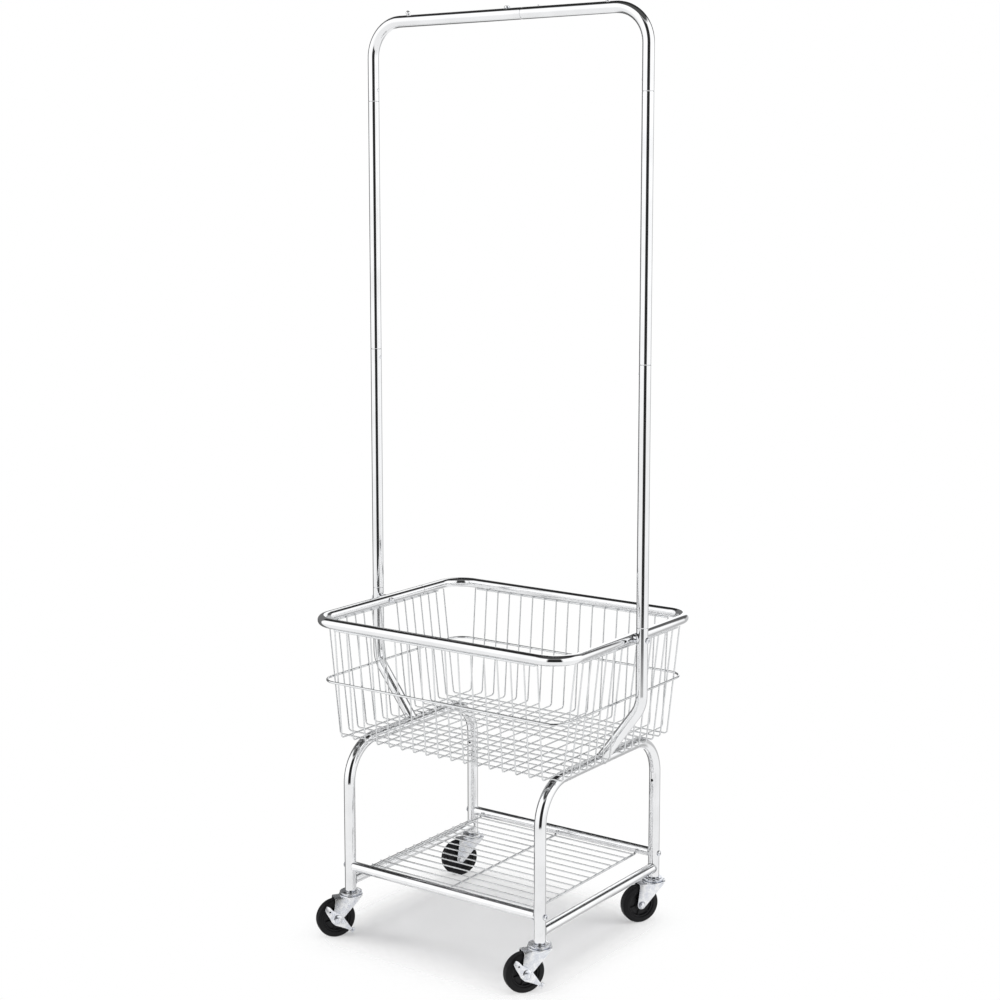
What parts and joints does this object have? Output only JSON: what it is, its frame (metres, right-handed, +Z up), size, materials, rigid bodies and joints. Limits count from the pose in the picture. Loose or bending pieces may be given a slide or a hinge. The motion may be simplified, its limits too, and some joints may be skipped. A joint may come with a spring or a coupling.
{
  "type": "rolling laundry cart with hanging bar",
  "caption": "Rolling laundry cart: wire basket in a tube rim on bent tube legs, a lower wire shelf, swivel casters with brake levers, and a garment bar on plug-in poles.",
  "frame": {"origin": "on the floor, at the centre of the rectangle of the four leg axes, which is also the centre of the basket and of the hanging bar", "axes": "+Z up; X along the long side and the hanging bar; -Y towards the side with the braked casters"},
  "size_m": [0.6426, 0.4992, 1.7605],
  "materials": {
    "chrome": "bright chrome plate on steel tube",
    "wire": "bright plated steel wire",
    "zinc": "bright zinc plate on pressed steel and fasteners",
    "socket": "black moulded plastic",
    "tyre": "black hard rubber tread, satin",
    "hub": "black moulded wheel centre"
  },
  "bodies": {
    "frame": {"top_bar_left": "chrome", "top_bar_right": "chrome", "bar_sleeve": "chrome", "bar_bolt": "zinc", "bar_pin": "zinc", "garment_stops": "chrome", "upper_pole_left": "chrome", "upper_pole_right": "chrome", "middle_pole_left": "chrome", "middle_pole_right": "chrome", "lower_pole_left": "chrome", "lower_pole_right": "chrome", "snap_buttons": "zinc", "end_frame_left": "chrome", "end_frame_right": "chrome", "side_rail_left": "chrome", "side_rail_right": "chrome", "front_rail": "chrome", "back_rail": "chrome", "rail_bolts": "zinc", "rim_bolts": "zinc", "cap_nuts": "zinc", "saddle_washers": "zinc", "basket_rim": "chrome", "basket_edge_wires": "wire", "basket_hoop": "wire", "basket_long_wires": "wire", "basket_cross_wires": "wire", "shelf_cross_wires": "wire", "shelf_supports": "wire", "caster_sockets": "socket", "caster_stems": "zinc", "swivel_races": "zinc"},
    "swivel_front_left": {"fork_front_left": "zinc", "axle_front_left": "zinc", "axle_nut_front_left": "zinc"},
    "wheel_front_left": {"tyre_front_left": "tyre", "hub_front_left": "hub"},
    "lever_front_left": {"brake_lever_front_left": "zinc"},
    "swivel_front_right": {"fork_front_right": "zinc", "axle_front_right": "zinc", "axle_nut_front_right": "zinc"},
    "wheel_front_right": {"tyre_front_right": "tyre", "hub_front_right": "hub"},
    "lever_front_right": {"brake_lever_front_right": "zinc"},
    "swivel_back_left": {"fork_back_left": "zinc", "axle_back_left": "zinc", "axle_nut_back_left": "zinc"},
    "wheel_back_left": {"tyre_back_left": "tyre", "hub_back_left": "hub"},
    "swivel_back_right": {"fork_back_right": "zinc", "axle_back_right": "zinc", "axle_nut_back_right": "zinc"},
    "wheel_back_right": {"tyre_back_right": "tyre", "hub_back_right": "hub"}
  },
  "joints": [
    {"name": "swivel_front_left_turn", "type": "hinge", "parent": "frame", "child": "swivel_front_left", "pos_m": [-0.22, -0.2, 0.079], "axis": [0, 0, 1], "continuous": true},
    {"name": "wheel_front_left_spin", "type": "hinge", "parent": "swivel_front_left", "child": "wheel_front_left", "pos_m": [-0.23733, -0.2257, 0.0375], "axis": [0.829, -0.5592, 0], "continuous": true},
    {"name": "brake_front_left_turn", "type": "hinge", "parent": "swivel_front_left", "child": "lever_front_left", "pos_m": [-0.23733, -0.2257, 0.0375], "axis": [0.829, -0.5592, 0], "range_deg": [0, 20]},
    {"name": "swivel_front_right_turn", "type": "hinge", "parent": "frame", "child": "swivel_front_right", "pos_m": [0.22, -0.2, 0.079], "axis": [0, 0, 1], "continuous": true},
    {"name": "wheel_front_right_spin", "type": "hinge", "parent": "swivel_front_right", "child": "wheel_front_right", "pos_m": [0.20267, -0.2257, 0.0375], "axis": [0.829, -0.5592, 0], "continuous": true},
    {"name": "brake_front_right_turn", "type": "hinge", "parent": "swivel_front_right", "child": "lever_front_right", "pos_m": [0.20267, -0.2257, 0.0375], "axis": [0.829, -0.5592, 0], "range_deg": [0, 20]},
    {"name": "swivel_back_left_turn", "type": "hinge", "parent": "frame", "child": "swivel_back_left", "pos_m": [-0.22, 0.2, 0.079], "axis": [0, 0, 1], "continuous": true},
    {"name": "wheel_back_left_spin", "type": "hinge", "parent": "swivel_back_left", "child": "wheel_back_left", "pos_m": [-0.23733, 0.1743, 0.0375], "axis": [0.829, -0.5592, 0], "continuous": true},
    {"name": "swivel_back_right_turn", "type": "hinge", "parent": "frame", "child": "swivel_back_right", "pos_m": [0.22, 0.2, 0.079], "axis": [0, 0, 1], "continuous": true},
    {"name": "wheel_back_right_spin", "type": "hinge", "parent": "swivel_back_right", "child": "wheel_back_right", "pos_m": [0.20267, 0.1743, 0.0375], "axis": [0.829, -0.5592, 0], "continuous": true}
  ]
}
